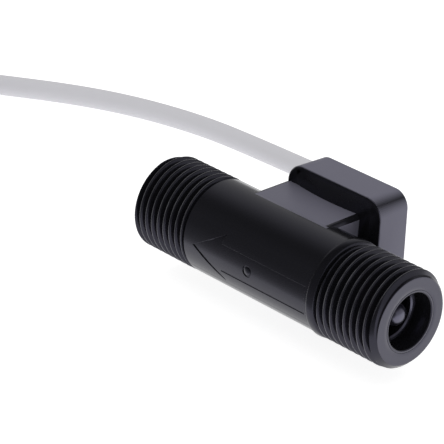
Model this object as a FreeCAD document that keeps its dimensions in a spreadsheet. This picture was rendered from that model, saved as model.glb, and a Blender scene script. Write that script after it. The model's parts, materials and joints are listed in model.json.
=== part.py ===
import FreeCAD, Part
import math
import os

import Sketcher
from FreeCAD import Placement, Rotation, Vector

# Turbine flow sensor, millimetres.
# The tube lies along X with its inlet at +X. The origin is on the tube's axis, at the shoulder of the collar
# where a fitting screwed on the inlet stops. The pick-up housing is at +Y and the flow arrow at -Y.

DIMENSIONS = {
    # Flow tube
    "tube_len": 70.0,
    "inlet_len": 16.4,
    "outlet_thread_len": 15.6,
    "crest_rad": 10.478,
    "end_face_rad": 9.3,
    "outlet_edge": 0.25,
    "barrel_rad": 10.1,
    "collar_rad": 10.7,
    "collar_len": 2.1,
    "collar_edge": 0.2,
    "bore_rad": 6.05,
    "outlet_bore_rad": 5.2,
    "bore_step_x": -36.0,
    "mouth_edge": 0.25,
    # Flow arrow and gate mark
    "arrow_deep": 0.46,
    "arrow_crown_rad": 12.5,
    "arrow_tip_x": -35.2,
    "arrow_barb_x": -26.5,
    "arrow_notch_x": -27.2,
    "arrow_end_x": -2.9,
    "arrow_barb_half": 5.0,
    "arrow_shaft_half": 2.95,
    "arrow_edge": 0.1,
    "gate_x": -19.3,
    "gate_rad": 1.3,
    "gate_nub_rad": 0.55,
    "gate_deep": 0.3,
    # Tower that carries the pick-up housing
    "tower_x": -20.3,
    "tower_wide": 20.6,
    "tower_half": 9.8,
    "tower_round": 1.2,
    "seat_y": 11.3,
    "spigot_x": -19.0,
    "spigot_wide": 14.0,
    "spigot_half": 7.0,
    "spigot_rise": 2.6,
    "pocket_floor_y": 7.9,
    "pocket_wide": 6.0,
    "pocket_half": 2.4,
    # Pick-up housing and cover
    "box_x": -16.95,
    "box_wide": 26.7,
    "box_half": 14.55,
    "box_deep": 8.6,
    "box_draft": 0.4,
    "box_round": 4.3,
    "box_edge": 0.5,
    "box_wall": 2.4,
    "front_wall": 1.8,
    "lip_wall": 1.2,
    "cover_thick": 1.6,
    "seal_thick": 0.5,
    "post_rad": 1.4,
    "post_dx": 8.6,
    "post_dz": 9.2,
    # Circuit board and what it carries
    "board_y": 15.0,
    "board_thick": 1.2,
    "board_wide": 20.4,
    "board_half": 11.0,
    "hall_x": -16.75,
    "hall_wide": 4.1,
    "hall_tall": 3.0,
    "hall_thick": 1.5,
    "hall_bevel": 0.5,
    "leg_side": 0.44,
    "leg_pitch": 1.27,
    "leg_tail": 0.5,
    "bead_base_rad": 0.57,
    "bead_tip_rad": 0.33,
    "resistor_long": 1.6,
    "resistor_high": 0.5,
    "resistor_wide": 0.8,
    "capacitor_long": 2.0,
    "capacitor_high": 0.9,
    "capacitor_wide": 1.25,
    "diode_long": 4.2,
    "diode_high": 1.1,
    "diode_wide": 2.6,
    "core_rad": 0.65,
    "core_ring": 1.3,
    # Cartridge in the bore
    "cartridge_rad": 6.02,
    "cartridge_bore": 5.35,
    "ring_in_rad": 5.25,
    "ring_face_x": 11.8,
    "ring_len": 1.6,
    "ring_edge": 0.3,
    "straightener_start_x": -9.0,
    "sleeve_start_x": -29.0,
    "hub_rad": 2.4,
    "nose_tip_x": 14.2,
    "nose_round": 2.1,
    "inlet_hub_back_x": -14.4,
    "vane_thick": 0.9,
    "vane_inset": 2.0,
    "outlet_hub_front_x": -26.2,
    "tail_tip_x": -42.0,
    "tail_tip_rad": 0.6,
    # Bearings and shaft
    "bush_rad": 1.5,
    "bush_len": 4.0,
    "bush_bore": 0.8,
    "bush_proud": 0.2,
    "stone_thick": 0.8,
    "shaft_rad": 0.75,
    "shaft_gap": 0.3,
    # Rotor
    "rotor_gap": 0.4,
    "rotor_hub_rad": 2.3,
    "rotor_step_x": -18.2,
    "magnet_in_rad": 1.6,
    "magnet_out_rad": 2.9,
    "magnet_len": 2.9,
    "blade_start_x": -25.2,
    "blade_len": 6.6,
    "blade_tip_rad": 5.0,
    "blade_root_rad": 1.9,
    "blade_root_thick": 0.9,
    "blade_tip_thick": 0.6,
    "blade_twist": 75.0,
    "blade_count": 6,
    "vane_count": 4,
    # Cable and strain relief
    "cable_rad": 2.5,
    "exit_x": -23.6,
    "exit_y": 17.2,
    "relief_flange_rad": 3.9,
    "relief_neck_rad": 3.2,
    "relief_base_rad": 4.2,
    "relief_tip_rad": 3.3,
    "relief_len": 8.0,
    "relief_band": 1.0,
    # Stored coil and bare end
    "coil_mid_rad": 30.0,
    "coil_half": 8.0,
    "coil_top_in_step": 0.5,
    "coil_top_out_step": 2.0,
    "coil_lift": 0.6,
    "coil_end_deg": 52.0,
    "tie_deg": 190.0,
    "tie_wide": 4.0,
    "tie_gap": 0.12,
    "tie_thick": 0.48,
    "tail_start": 6.0,
    "tail_len": 14.0,
    "end_core_len": 14.0,
    "end_core_fan": 7.0,
    "end_core_droop": 24.8,
    "core_tip_len": 4.0,
    "core_tip_rad": 0.4,
}

BLADE_SECTIONS = 5

# Places of the surface-mount parts on the board, in X and Z from the housing's middle
RESISTOR_PLACES = [(3.5, 6.0), (3.5, 3.6), (-2.4, -5.5)]
CAPACITOR_PLACES = [(6.8, 6.0), (6.8, -3.2)]
DIODE_PLACES = [(3.6, -7.0)]

# Route of the free cable: out of the housing's rear, down to the floor and away to the stored coil
FLOOR_Z = -DIMENSIONS["box_half"]
LYING_Z = FLOOR_Z + DIMENSIONS["cable_rad"]
ROUTE = [
    (DIMENSIONS["exit_x"], DIMENSIONS["exit_y"], 0.0),
    (-23.6, 31.3, 0.0),
    (-29.3, 43.7, -3.7),
    (-40.2, 51.5, -8.8),
    (-54.3, 53.1, LYING_Z),
    (-79.8, 52.4, LYING_Z),
    (-97.8, 51.2, LYING_Z),
    (-116.0, 46.6, LYING_Z),
    (-131.5, 39.6, LYING_Z),
    (-148.0, 28.8, LYING_Z),
    (-164.0, 17.4, LYING_Z),
]
# The last run aims at the tangent point of the coil's outer turn, this far past the last point
COIL_APPROACH = 12.0
# Share of the shorter run at a corner that its arc takes up
CORNER_SHARE = 0.45

doc = FreeCAD.newDocument("flow_sensor")
sheet = doc.addObject("Spreadsheet::Sheet", "Dims")
for row, (alias, number) in enumerate(DIMENSIONS.items(), start=1):
    sheet.set("A%d" % row, alias)
    sheet.set("B%d" % row, str(number))
    sheet.setAlias("B%d" % row, alias)
doc.recompute()

sub_parts = []


def value(expression):
    """Number that an expression on the sheet gives."""
    return float(sheet.evalExpression(str(expression)))


def bind(item, **expressions):
    """Bind properties of an object to expressions on the sheet; double underscores stand for dots."""
    for name, expression in expressions.items():
        item.setExpression(name.replace("__", "."), str(expression))


def keep(item, label):
    """List an object as a sub-part under the name of its node."""
    item.Label = label
    sub_parts.append(item)
    return item


# Sketches


def plane(body, role):
    return next(item for item in body.Origin.OriginFeatures if item.Role == role)


def new_sketch(body, name, role, offset=None, turn=None):
    """Sketch on a plane of the body's origin, moved along its normal and turned about it."""
    sketch = body.newObject("Sketcher::SketchObject", name)
    sketch.AttachmentSupport = (plane(body, role), [""])
    sketch.MapMode = "FlatFace"
    if turn is not None:
        sketch.AttachmentOffset = Placement(Vector(), Rotation(Vector(0, 0, 1), 0.0))
        bind(sketch, AttachmentOffset__Rotation__Angle=turn)
    if offset is not None:
        bind(sketch, AttachmentOffset__Base__z=offset)
    return sketch


def hold(sketch, kind, *where, size):
    """Add a dimension to a sketch and bind it to the sheet."""
    index = sketch.addConstraint(Sketcher.Constraint(kind, *where, value(size)))
    sketch.setExpression("Constraints[%d]" % index, str(size))


def polygon(sketch, points):
    """Closed outline whose corners are held by dimensions from the sketch's origin."""
    corners = [Vector(value(x), value(y), 0) for x, y in points]
    first = sketch.GeometryCount
    count = len(corners)
    for index, corner in enumerate(corners):
        sketch.addGeometry(Part.LineSegment(corner, corners[(index + 1) % count]))
    for index in range(count):
        follower = first + (index + 1) % count
        sketch.addConstraint(Sketcher.Constraint("Coincident", first + index, 2, follower, 1))
    for index, (x, y) in enumerate(points):
        hold(sketch, "DistanceX", -1, 1, first + index, 1, size=x)
        hold(sketch, "DistanceY", -1, 1, first + index, 1, size=y)
    return sketch


def rectangle(sketch, left, right, bottom, top, radius):
    """Rectangle with equal round corners."""
    first = sketch.GeometryCount
    x0, x1, y0, y1, r = (value(item) for item in (left, right, bottom, top, radius))
    centres = [(x1 - r, y0 + r, -90), (x1 - r, y1 - r, 0), (x0 + r, y1 - r, 90), (x0 + r, y0 + r, 180)]
    runs = [((x0 + r, y0), (x1 - r, y0)), ((x1, y0 + r), (x1, y1 - r)),
            ((x1 - r, y1), (x0 + r, y1)), ((x0, y1 - r), (x0, y0 + r))]
    for (start, end), (cx, cy, angle) in zip(runs, centres):
        sketch.addGeometry(Part.LineSegment(Vector(*start, 0), Vector(*end, 0)))
        circle = Part.Circle(Vector(cx, cy, 0), Vector(0, 0, 1), r)
        sketch.addGeometry(Part.ArcOfCircle(circle, math.radians(angle), math.radians(angle + 90)))
    for step in range(8):
        sketch.addConstraint(Sketcher.Constraint("Tangent", first + step, 2, first + (step + 1) % 8, 1))
    for side, kind in enumerate(("Horizontal", "Vertical", "Horizontal", "Vertical")):
        sketch.addConstraint(Sketcher.Constraint(kind, first + 2 * side))
    for corner in range(3):
        sketch.addConstraint(Sketcher.Constraint("Equal", first + 2 * corner + 1, first + 2 * corner + 3))
    hold(sketch, "Radius", first + 1, size=radius)
    hold(sketch, "DistanceY", -1, 1, first, 1, size=bottom)
    hold(sketch, "DistanceX", -1, 1, first + 2, 1, size=right)
    hold(sketch, "DistanceY", -1, 1, first + 4, 1, size=top)
    hold(sketch, "DistanceX", -1, 1, first + 6, 1, size=left)
    return sketch


def round_spot(sketch, x, y, radius):
    """Circle held by its centre and radius."""
    index = sketch.GeometryCount
    centre = Vector(value(x), value(y), 0)
    sketch.addGeometry(Part.Circle(centre, Vector(0, 0, 1), value(radius)))
    hold(sketch, "DistanceX", -1, 1, index, 3, size=x)
    hold(sketch, "DistanceY", -1, 1, index, 3, size=y)
    hold(sketch, "Radius", index, size=radius)
    return sketch


# Features


def new_body(label):
    return keep(doc.addObject("PartDesign::Body", label), label)


def revolve(body, name, sketch, axis="H_Axis", cut=False):
    """Full turn of a sketch about one of its own axes."""
    before = 0.0
    if cut:
        before = body.Shape.Volume
    feature = body.newObject("PartDesign::Groove" if cut else "PartDesign::Revolution", name)
    feature.Profile = sketch
    feature.ReferenceAxis = (sketch, [axis])
    feature.Angle = 360.0
    doc.recompute()
    if cut and not body.Shape.Volume < before:
        raise RuntimeError("%s cuts nothing" % name)
    return feature


def pad(body, name, sketch, length, backward=False):
    """Extrude a sketch along its normal, or against it."""
    feature = body.newObject("PartDesign::Pad", name)
    feature.Profile = sketch
    feature.Reversed = backward
    bind(feature, Length=length)
    doc.recompute()
    return feature


def pocket(body, name, sketch, length=None, reverse=False):
    """Cut a sketch against its normal, through everything when no length is given."""
    before = body.Shape.Volume
    feature = body.newObject("PartDesign::Pocket", name)
    feature.Profile = sketch
    feature.Reversed = reverse
    if length is None:
        feature.Type = "ThroughAll"
    else:
        bind(feature, Length=length)
    doc.recompute()
    if not body.Shape.Volume < before:
        raise RuntimeError("%s cuts nothing" % name)
    return feature


def fillet(body, name, feature, radius, chosen):
    """Round the edges of a feature that a test picks."""
    edges = ["Edge%d" % (index + 1) for index, edge in enumerate(feature.Shape.Edges) if chosen(edge)]
    rounding = body.newObject("PartDesign::Fillet", name)
    rounding.Base = (feature, edges)
    bind(rounding, Radius=radius)
    doc.recompute()
    return rounding


def polar(body, name, feature, count):
    """Repeat a feature round the tube's axis."""
    pattern = body.newObject("PartDesign::PolarPattern", name)
    pattern.Originals = [feature]
    pattern.Axis = (plane(body, "X_Axis"), [""])
    pattern.Angle = 360.0
    bind(pattern, Occurrences=count)
    body.Tip = pattern
    doc.recompute()
    return pattern


def on_plane(edge, axis, level):
    """Whether an edge lies in a plane square to an axis."""
    return all(abs(getattr(point, axis) - level) < 1e-4 for point in edge.discretize(5))


# Simple solids along the tube's axis


def rod(name, start, length, radius):
    """Cylinder along +X."""
    item = doc.addObject("Part::Cylinder", name)
    item.Placement = Placement(Vector(), Rotation(Vector(0, 1, 0), 90))
    bind(item, Placement__Base__x=start, Height=length, Radius=radius)
    return item


def ring(label, start, length, outer, inner):
    """Plain ring along +X."""
    item = doc.addObject("Part::Cut", label)
    item.Base = rod(label + "_outer", start, length, outer)
    item.Tool = rod(label + "_inner", start, length, inner)
    return keep(item, label)


def block(name, centre, size):
    """Box given by its centre and its sides."""
    item = doc.addObject("Part::Box", name)
    bind(item, Length=size[0], Width=size[1], Height=size[2])
    for axis, middle, side in zip("xyz", centre, size):
        item.setExpression("Placement.Base." + axis, "(%s) - (%s) / 2" % (middle, side))
    return item


def stub(name, centre, start_y, length, radius):
    """Cylinder along +Y at a place in X and Z."""
    item = doc.addObject("Part::Cylinder", name)
    item.Placement = Placement(Vector(), Rotation(Vector(1, 0, 0), -90))
    bind(item, Placement__Base__x=centre[0], Placement__Base__y=start_y, Placement__Base__z=centre[1],
         Height=length, Radius=radius)
    return item


def group(label, items):
    """Separate like solids that share one node."""
    item = doc.addObject("Part::Compound", label)
    item.Links = items
    return keep(item, label)


# Lengths worked out from the driving dimensions

INLET_X = "Dims.inlet_len"
OUTLET_X = "(Dims.inlet_len - Dims.tube_len)"
CHAMFER = "(Dims.crest_rad - Dims.end_face_rad)"
OUTLET_THREAD_X = "(%s + Dims.outlet_thread_len)" % OUTLET_X
ARROW_FLOOR = "(Dims.barrel_rad - Dims.arrow_deep)"
BOX_LEFT = "(Dims.box_x - Dims.box_wide / 2)"
BOX_RIGHT = "(Dims.box_x + Dims.box_wide / 2)"
BOX_BACK_Y = "(Dims.seat_y + Dims.box_deep)"
COVER_Y = "(%s - Dims.cover_thick)" % BOX_BACK_Y
LEDGE_Y = "(%s - Dims.seal_thick)" % COVER_Y
INNER_WALL_Y = "(Dims.seat_y + Dims.front_wall)"
BOARD_BACK_Y = "(Dims.board_y + Dims.board_thick)"
INLET_BUSH_X = "(Dims.inlet_hub_back_x - Dims.bush_proud)"
OUTLET_BUSH_END_X = "(Dims.outlet_hub_front_x + Dims.bush_proud)"
OUTLET_BUSH_X = "(%s - Dims.bush_len)" % OUTLET_BUSH_END_X
INLET_STONE_X = "(%s + Dims.bush_len)" % INLET_BUSH_X
OUTLET_STONE_X = "(%s - Dims.stone_thick)" % OUTLET_BUSH_X
ROTOR_START_X = "(%s + Dims.rotor_gap)" % OUTLET_BUSH_END_X
ROTOR_END_X = "(%s - Dims.rotor_gap)" % INLET_BUSH_X
RING_BACK_X = "(Dims.ring_face_x - Dims.ring_len)"
BEARING_SEAT = "(Dims.bush_len - Dims.bush_proud + Dims.stone_thick)"


def box_outline(body, name, y, inset, radius="Dims.box_round"):
    """Housing outline at a depth in Y, drawn inward by an inset."""
    sketch = new_sketch(body, name, "XZ_Plane", "-" + y)
    return rectangle(sketch, "%s + %s" % (BOX_LEFT, inset), "%s - %s" % (BOX_RIGHT, inset),
                     "-Dims.box_half + %s" % inset, "Dims.box_half - %s" % inset, radius)


# Flow tube: turned profile, tower, engraved arrow, then the sensor pocket and the bore


def make_arrow_cutter():
    """Tool for the engraved arrow: a prism of the arrow's outline, hollowed to the crown of its floor."""
    cutter = doc.addObject("PartDesign::Body", "arrow_cutter")
    arrow = [
        ("Dims.arrow_tip_x", "0"),
        ("Dims.arrow_barb_x", "-Dims.arrow_barb_half"),
        ("Dims.arrow_notch_x", "-Dims.arrow_shaft_half"),
        ("Dims.arrow_end_x", "-Dims.arrow_shaft_half"),
        ("Dims.arrow_end_x", "Dims.arrow_shaft_half"),
        ("Dims.arrow_notch_x", "Dims.arrow_shaft_half"),
        ("Dims.arrow_barb_x", "Dims.arrow_barb_half"),
    ]
    outline = polygon(new_sketch(cutter, "arrow_outline", "XZ_Plane"), arrow)
    pad(cutter, "arrow_prism", outline, "Dims.collar_rad")
    crown = new_sketch(cutter, "crown_outline", "YZ_Plane", "Dims.arrow_end_x")
    round_spot(crown, "Dims.arrow_crown_rad - " + ARROW_FLOOR, "0", "Dims.arrow_crown_rad")
    pocket(cutter, "arrow_crown", crown, "Dims.arrow_end_x - Dims.arrow_tip_x")
    return cutter


def make_flow_tube():
    body = new_body("flow_tube")
    profile = [
        (OUTLET_X, "0"),
        (INLET_X, "0"),
        (INLET_X, "Dims.end_face_rad"),
        ("%s - %s" % (INLET_X, CHAMFER), "Dims.crest_rad"),
        ("0", "Dims.crest_rad"),
        ("-Dims.collar_edge", "Dims.collar_rad"),
        ("Dims.collar_edge - Dims.collar_len", "Dims.collar_rad"),
        ("-Dims.collar_len", "Dims.collar_rad - Dims.collar_edge"),
        ("-Dims.collar_len", "Dims.barrel_rad"),
        (OUTLET_THREAD_X, "Dims.barrel_rad"),
        (OUTLET_THREAD_X, "Dims.crest_rad"),
        ("%s + Dims.outlet_edge" % OUTLET_X, "Dims.crest_rad"),
        (OUTLET_X, "Dims.crest_rad - Dims.outlet_edge"),
    ]
    revolve(body, "tube_turned", polygon(new_sketch(body, "tube_profile", "XY_Plane"), profile))

    tower = rectangle(new_sketch(body, "tower_outline", "XZ_Plane"),
                      "Dims.tower_x - Dims.tower_wide / 2", "Dims.tower_x + Dims.tower_wide / 2",
                      "-Dims.tower_half", "Dims.tower_half", "Dims.tower_round")
    pad(body, "tower", tower, "Dims.seat_y", backward=True)
    spigot = rectangle(new_sketch(body, "spigot_outline", "XZ_Plane"),
                       "Dims.spigot_x - Dims.spigot_wide / 2", "Dims.spigot_x + Dims.spigot_wide / 2",
                       "-Dims.spigot_half", "Dims.spigot_half", "Dims.tower_round")
    pad(body, "spigot", spigot, "Dims.seat_y + Dims.spigot_rise", backward=True)

    cutter = make_arrow_cutter()
    recess = body.newObject("PartDesign::Boolean", "flow_arrow")
    recess.Type = "Cut"
    recess.setObjects([cutter])
    doc.recompute()
    barrel_rad, barb_half = value("Dims.barrel_rad"), value("Dims.arrow_barb_half")

    def on_rim(edge):
        points = edge.discretize(5)
        on_barrel = all(abs(math.hypot(point.y, point.z) - barrel_rad) < 1e-3 for point in points)
        return on_barrel and all(point.y < 0 and abs(point.z) < barb_half + 1e-3 for point in points)

    fillet(body, "arrow_rounding", recess, "Dims.arrow_edge", on_rim)
    gate = new_sketch(body, "gate_outline", "XZ_Plane", ARROW_FLOOR)
    round_spot(gate, "Dims.gate_x", "0", "Dims.gate_rad")
    round_spot(gate, "Dims.gate_x", "0", "Dims.gate_nub_rad")
    pocket(body, "gate_mark", gate, "Dims.gate_deep")

    seat = rectangle(new_sketch(body, "pocket_outline", "XZ_Plane", "-Dims.pocket_floor_y"),
                     "Dims.hall_x - Dims.pocket_wide / 2", "Dims.hall_x + Dims.pocket_wide / 2",
                     "-Dims.pocket_half", "Dims.pocket_half", "Dims.tower_round / 2")
    pocket(body, "sensor_pocket", seat)

    bore = [
        (OUTLET_X, "0"),
        (INLET_X, "0"),
        (INLET_X, "Dims.bore_rad + Dims.mouth_edge"),
        ("%s - Dims.mouth_edge" % INLET_X, "Dims.bore_rad"),
        ("Dims.bore_step_x", "Dims.bore_rad"),
        ("Dims.bore_step_x", "Dims.outlet_bore_rad"),
        ("%s + Dims.mouth_edge" % OUTLET_X, "Dims.outlet_bore_rad"),
        (OUTLET_X, "Dims.outlet_bore_rad + Dims.mouth_edge"),
    ]
    revolve(body, "bore", polygon(new_sketch(body, "bore_profile", "XY_Plane"), bore), cut=True)


# Pick-up housing: drafted cup open at the rear, with a window for the tower's spigot and four board posts


def make_sensor_housing():
    body = new_body("sensor_housing")
    front = box_outline(body, "front_outline", "Dims.seat_y", "0")
    rear = box_outline(body, "rear_outline", BOX_BACK_Y, "Dims.box_draft")
    shell = body.newObject("PartDesign::AdditiveLoft", "drafted_block")
    shell.Profile = front
    shell.Sections = [rear]
    shell.Ruled = True
    doc.recompute()
    cavity_round = "Dims.box_round - Dims.box_wall / 2"
    pocket(body, "cavity", box_outline(body, "cavity_outline", INNER_WALL_Y, "Dims.box_wall", cavity_round))
    lip_inset = "(Dims.box_draft + Dims.lip_wall)"
    pocket(body, "rebate", box_outline(body, "rebate_outline", LEDGE_Y, lip_inset,
                                       "Dims.box_round - Dims.lip_wall"))
    window = rectangle(new_sketch(body, "window_outline", "XZ_Plane", "-Dims.seat_y"),
                       "Dims.spigot_x - Dims.spigot_wide / 2", "Dims.spigot_x + Dims.spigot_wide / 2",
                       "-Dims.spigot_half", "Dims.spigot_half", "Dims.tower_round")
    pocket(body, "window", window, "Dims.front_wall")
    posts = new_sketch(body, "post_outline", "XZ_Plane", "-" + INNER_WALL_Y)
    for side in ("-", "+"):
        for end in ("-", ""):
            round_spot(posts, "Dims.box_x %s Dims.post_dx" % side, end + "Dims.post_dz", "Dims.post_rad")
    solid = pad(body, "posts", posts, "Dims.board_y - " + INNER_WALL_Y, backward=True)
    front_y, window_top = value("Dims.seat_y"), value("Dims.spigot_half + Dims.box_edge")

    def on_front_rim(edge):
        reach = max(abs(point.z) for point in edge.discretize(5))
        return on_plane(edge, "y", front_y) and reach > window_top

    fillet(body, "front_edge", solid, "Dims.box_edge", on_front_rim)


def make_cover():
    inset = "(Dims.box_draft + Dims.lip_wall)"
    corner = "Dims.box_round - Dims.lip_wall"
    cover = new_body("rear_cover")
    outline = box_outline(cover, "cover_outline", COVER_Y, inset, corner)
    round_spot(outline, "Dims.exit_x", "0", "Dims.relief_neck_rad")
    pad(cover, "cover_plate", outline, "Dims.cover_thick", backward=True)

    seal = new_body("cover_seal")
    outline = box_outline(seal, "seal_outline", LEDGE_Y, inset, corner)
    x0, x1 = "%s + Dims.box_wall" % BOX_LEFT, "%s - Dims.box_wall" % BOX_RIGHT
    rectangle(outline, x0, x1, "-Dims.box_half + Dims.box_wall", "Dims.box_half - Dims.box_wall",
              "Dims.box_round - Dims.box_wall / 2")
    pad(seal, "seal_ring", outline, "Dims.seal_thick", backward=True)


# Circuit board with the Hall sensor reaching down into the tower


def make_board():
    board = new_body("circuit_board")
    outline = new_sketch(board, "board_outline", "XZ_Plane", "-Dims.board_y")
    rectangle(outline, "Dims.box_x - Dims.board_wide / 2", "Dims.box_x + Dims.board_wide / 2",
              "-Dims.board_half", "Dims.board_half", "Dims.tower_round")
    for x, z in leg_places():
        round_spot(outline, x, z, "Dims.leg_side")
    pad(board, "board_plate", outline, "Dims.board_thick", backward=True)

    hall = new_body("hall_sensor")
    half_wide, half_tall = "Dims.hall_wide / 2", "Dims.hall_tall / 2"
    y0 = "Dims.pocket_floor_y"
    y1 = "Dims.pocket_floor_y + Dims.hall_thick"
    section = new_sketch(hall, "hall_section", "XY_Plane", "-Dims.hall_tall / 2")
    polygon(section, [
        ("Dims.hall_x - %s + Dims.hall_bevel" % half_wide, y0),
        ("Dims.hall_x + %s - Dims.hall_bevel" % half_wide, y0),
        ("Dims.hall_x + " + half_wide, y0 + " + Dims.hall_bevel"),
        ("Dims.hall_x + " + half_wide, y1),
        ("Dims.hall_x - " + half_wide, y1),
        ("Dims.hall_x - " + half_wide, y0 + " + Dims.hall_bevel"),
    ])
    pad(hall, "hall_case", section, "Dims.hall_tall")

    leg_start = "(%s)" % y1
    leg_end = "(%s + Dims.leg_tail)" % BOARD_BACK_Y
    legs = []
    for index, (x, z) in enumerate(leg_places()):
        size = ("Dims.leg_side", "%s - %s" % (leg_end, leg_start), "Dims.leg_side")
        legs.append(block("leg_%d" % index, (x, "(%s + %s) / 2" % (leg_start, leg_end), z), size))
    group("hall_legs", legs)


def leg_places():
    return [("Dims.hall_x + (%d) * Dims.leg_pitch" % step, "0") for step in (-1, 0, 1)]


def core_places():
    """Cable cores, evenly spaced about the cable's own axis."""
    places = []
    for turn in (90, 210, 330):
        places.append(("Dims.exit_x + Dims.core_ring * cos(%d deg)" % turn,
                       "Dims.core_ring * sin(%d deg)" % turn))
    return places


def make_board_parts():
    def chips(label, kind, places):
        size = ["Dims.%s_%s" % (kind, side) for side in ("long", "high", "wide")]
        items = []
        for index, (dx, dz) in enumerate(places):
            centre = ("Dims.box_x + (%g)" % dx, "%s + %s / 2" % (BOARD_BACK_Y, size[1]), dz)
            items.append(block("%s_%d" % (label, index), centre, size))
        group(label, items)

    chips("chip_resistors", "resistor", RESISTOR_PLACES)
    chips("chip_capacitors", "capacitor", CAPACITOR_PLACES)
    chips("surge_diode", "diode", DIODE_PLACES)

    joints = []
    for index, (x, z) in enumerate(leg_places()):
        bead = doc.addObject("Part::Cone", "leg_joint_%d" % index)
        bead.Placement = Placement(Vector(), Rotation(Vector(1, 0, 0), -90))
        bind(bead, Radius1="Dims.bead_base_rad", Radius2="Dims.bead_tip_rad", Height="Dims.leg_tail",
             Placement__Base__x=x, Placement__Base__y=BOARD_BACK_Y, Placement__Base__z=z)
        size = ("Dims.leg_side", "4 * Dims.leg_tail", "Dims.leg_side")
        leg = block("leg_hole_%d" % index, (x, BOARD_BACK_Y, z), size)
        cut = doc.addObject("Part::Cut", "leg_solder_%d" % index)
        cut.Base = bead
        cut.Tool = leg
        joints.append(cut)
    group("solder_joints", joints)

    core_len = "Dims.exit_y - " + BOARD_BACK_Y
    group("inner_cores", [stub("inner_core_%d" % index, place, BOARD_BACK_Y, core_len, "Dims.core_rad")
                          for index, place in enumerate(core_places())])


# Cartridge: straightener and carrier with vanes, the sleeve between them and the ring that holds them


def vaned_carrier(label, hub, rim_start, rim_end, vane_start, vane_end, seat_start, seat_end):
    """Hub, vanes and rim, with a seat bored in the hub for the bush and its thrust stone."""
    body = new_body(label)
    revolve(body, "hub", polygon(new_sketch(body, "hub_profile", "XY_Plane"), hub))
    vane = new_sketch(body, "vane_outline", "XY_Plane", "-Dims.vane_thick / 2")
    vane_root, vane_top = "Dims.hub_rad / 2", "(Dims.cartridge_rad + Dims.cartridge_bore) / 2"
    polygon(vane, [
        (vane_start, vane_root),
        (vane_end, vane_root),
        (vane_end, vane_top),
        (vane_start, vane_top),
    ])
    first = pad(body, "vane", vane, "Dims.vane_thick")
    polar(body, "vanes", first, "Dims.vane_count")
    rim = [(rim_start, "Dims.cartridge_bore"), (rim_end, "Dims.cartridge_bore"),
           (rim_end, "Dims.cartridge_rad"), (rim_start, "Dims.cartridge_rad")]
    revolve(body, "rim", polygon(new_sketch(body, "rim_profile", "XY_Plane"), rim))
    seat = [(seat_start, "0"), (seat_end, "0"), (seat_end, "Dims.bush_rad"), (seat_start, "Dims.bush_rad")]
    revolve(body, "bearing_seat", polygon(new_sketch(body, "seat_profile", "XY_Plane"), seat), cut=True)
    return body


def make_cartridge():
    straightener = [
        ("Dims.inlet_hub_back_x", "0"),
        ("Dims.nose_tip_x", "0"),
        ("Dims.nose_tip_x", "Dims.hub_rad"),
        ("Dims.inlet_hub_back_x", "Dims.hub_rad"),
    ]
    rim_start = "Dims.straightener_start_x"
    inlet = vaned_carrier("flow_straightener", straightener, rim_start, RING_BACK_X,
                          rim_start + " + Dims.vane_inset / 2", RING_BACK_X + " - Dims.vane_inset",
                          "Dims.inlet_hub_back_x", "Dims.inlet_hub_back_x + " + BEARING_SEAT)
    tip_x = value("Dims.nose_tip_x")
    fillet(inlet, "nose", inlet.Tip, "Dims.nose_round", lambda edge: on_plane(edge, "x", tip_x))
    carrier = [
        ("Dims.tail_tip_x", "0"),
        ("Dims.outlet_hub_front_x", "0"),
        ("Dims.outlet_hub_front_x", "Dims.hub_rad"),
        ("Dims.bore_step_x", "Dims.hub_rad"),
        ("Dims.tail_tip_x", "Dims.tail_tip_rad"),
    ]
    vaned_carrier("outlet_carrier", carrier, "Dims.bore_step_x", "Dims.sleeve_start_x",
                  "Dims.bore_step_x + Dims.vane_inset / 2", "Dims.sleeve_start_x - Dims.vane_inset / 2",
                  "Dims.outlet_hub_front_x - " + BEARING_SEAT, "Dims.outlet_hub_front_x")
    ring("spacer_sleeve", "Dims.sleeve_start_x", "Dims.straightener_start_x - Dims.sleeve_start_x",
         "Dims.cartridge_rad", "Dims.cartridge_bore")

    holder = new_body("retaining_ring")
    section = [
        (RING_BACK_X, "Dims.ring_in_rad"),
        ("Dims.ring_face_x - Dims.ring_edge", "Dims.ring_in_rad"),
        ("Dims.ring_face_x", "Dims.ring_in_rad + Dims.ring_edge"),
        ("Dims.ring_face_x", "Dims.bore_rad"),
        (RING_BACK_X, "Dims.bore_rad"),
    ]
    revolve(holder, "ring_turned", polygon(new_sketch(holder, "ring_section", "XY_Plane"), section))


def make_bearings():
    ring("inlet_bearing", INLET_BUSH_X, "Dims.bush_len", "Dims.bush_rad", "Dims.bush_bore")
    ring("outlet_bearing", OUTLET_BUSH_X, "Dims.bush_len", "Dims.bush_rad", "Dims.bush_bore")
    keep(rod("inlet_thrust_stone", INLET_STONE_X, "Dims.stone_thick", "Dims.bush_rad"), "inlet_thrust_stone")
    stone = rod("outlet_thrust_stone", OUTLET_STONE_X, "Dims.stone_thick", "Dims.bush_rad")
    keep(stone, "outlet_thrust_stone")


# Rotor: stepped hub, one blade lofted through turned sections and repeated, ring magnet and shaft


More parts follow.
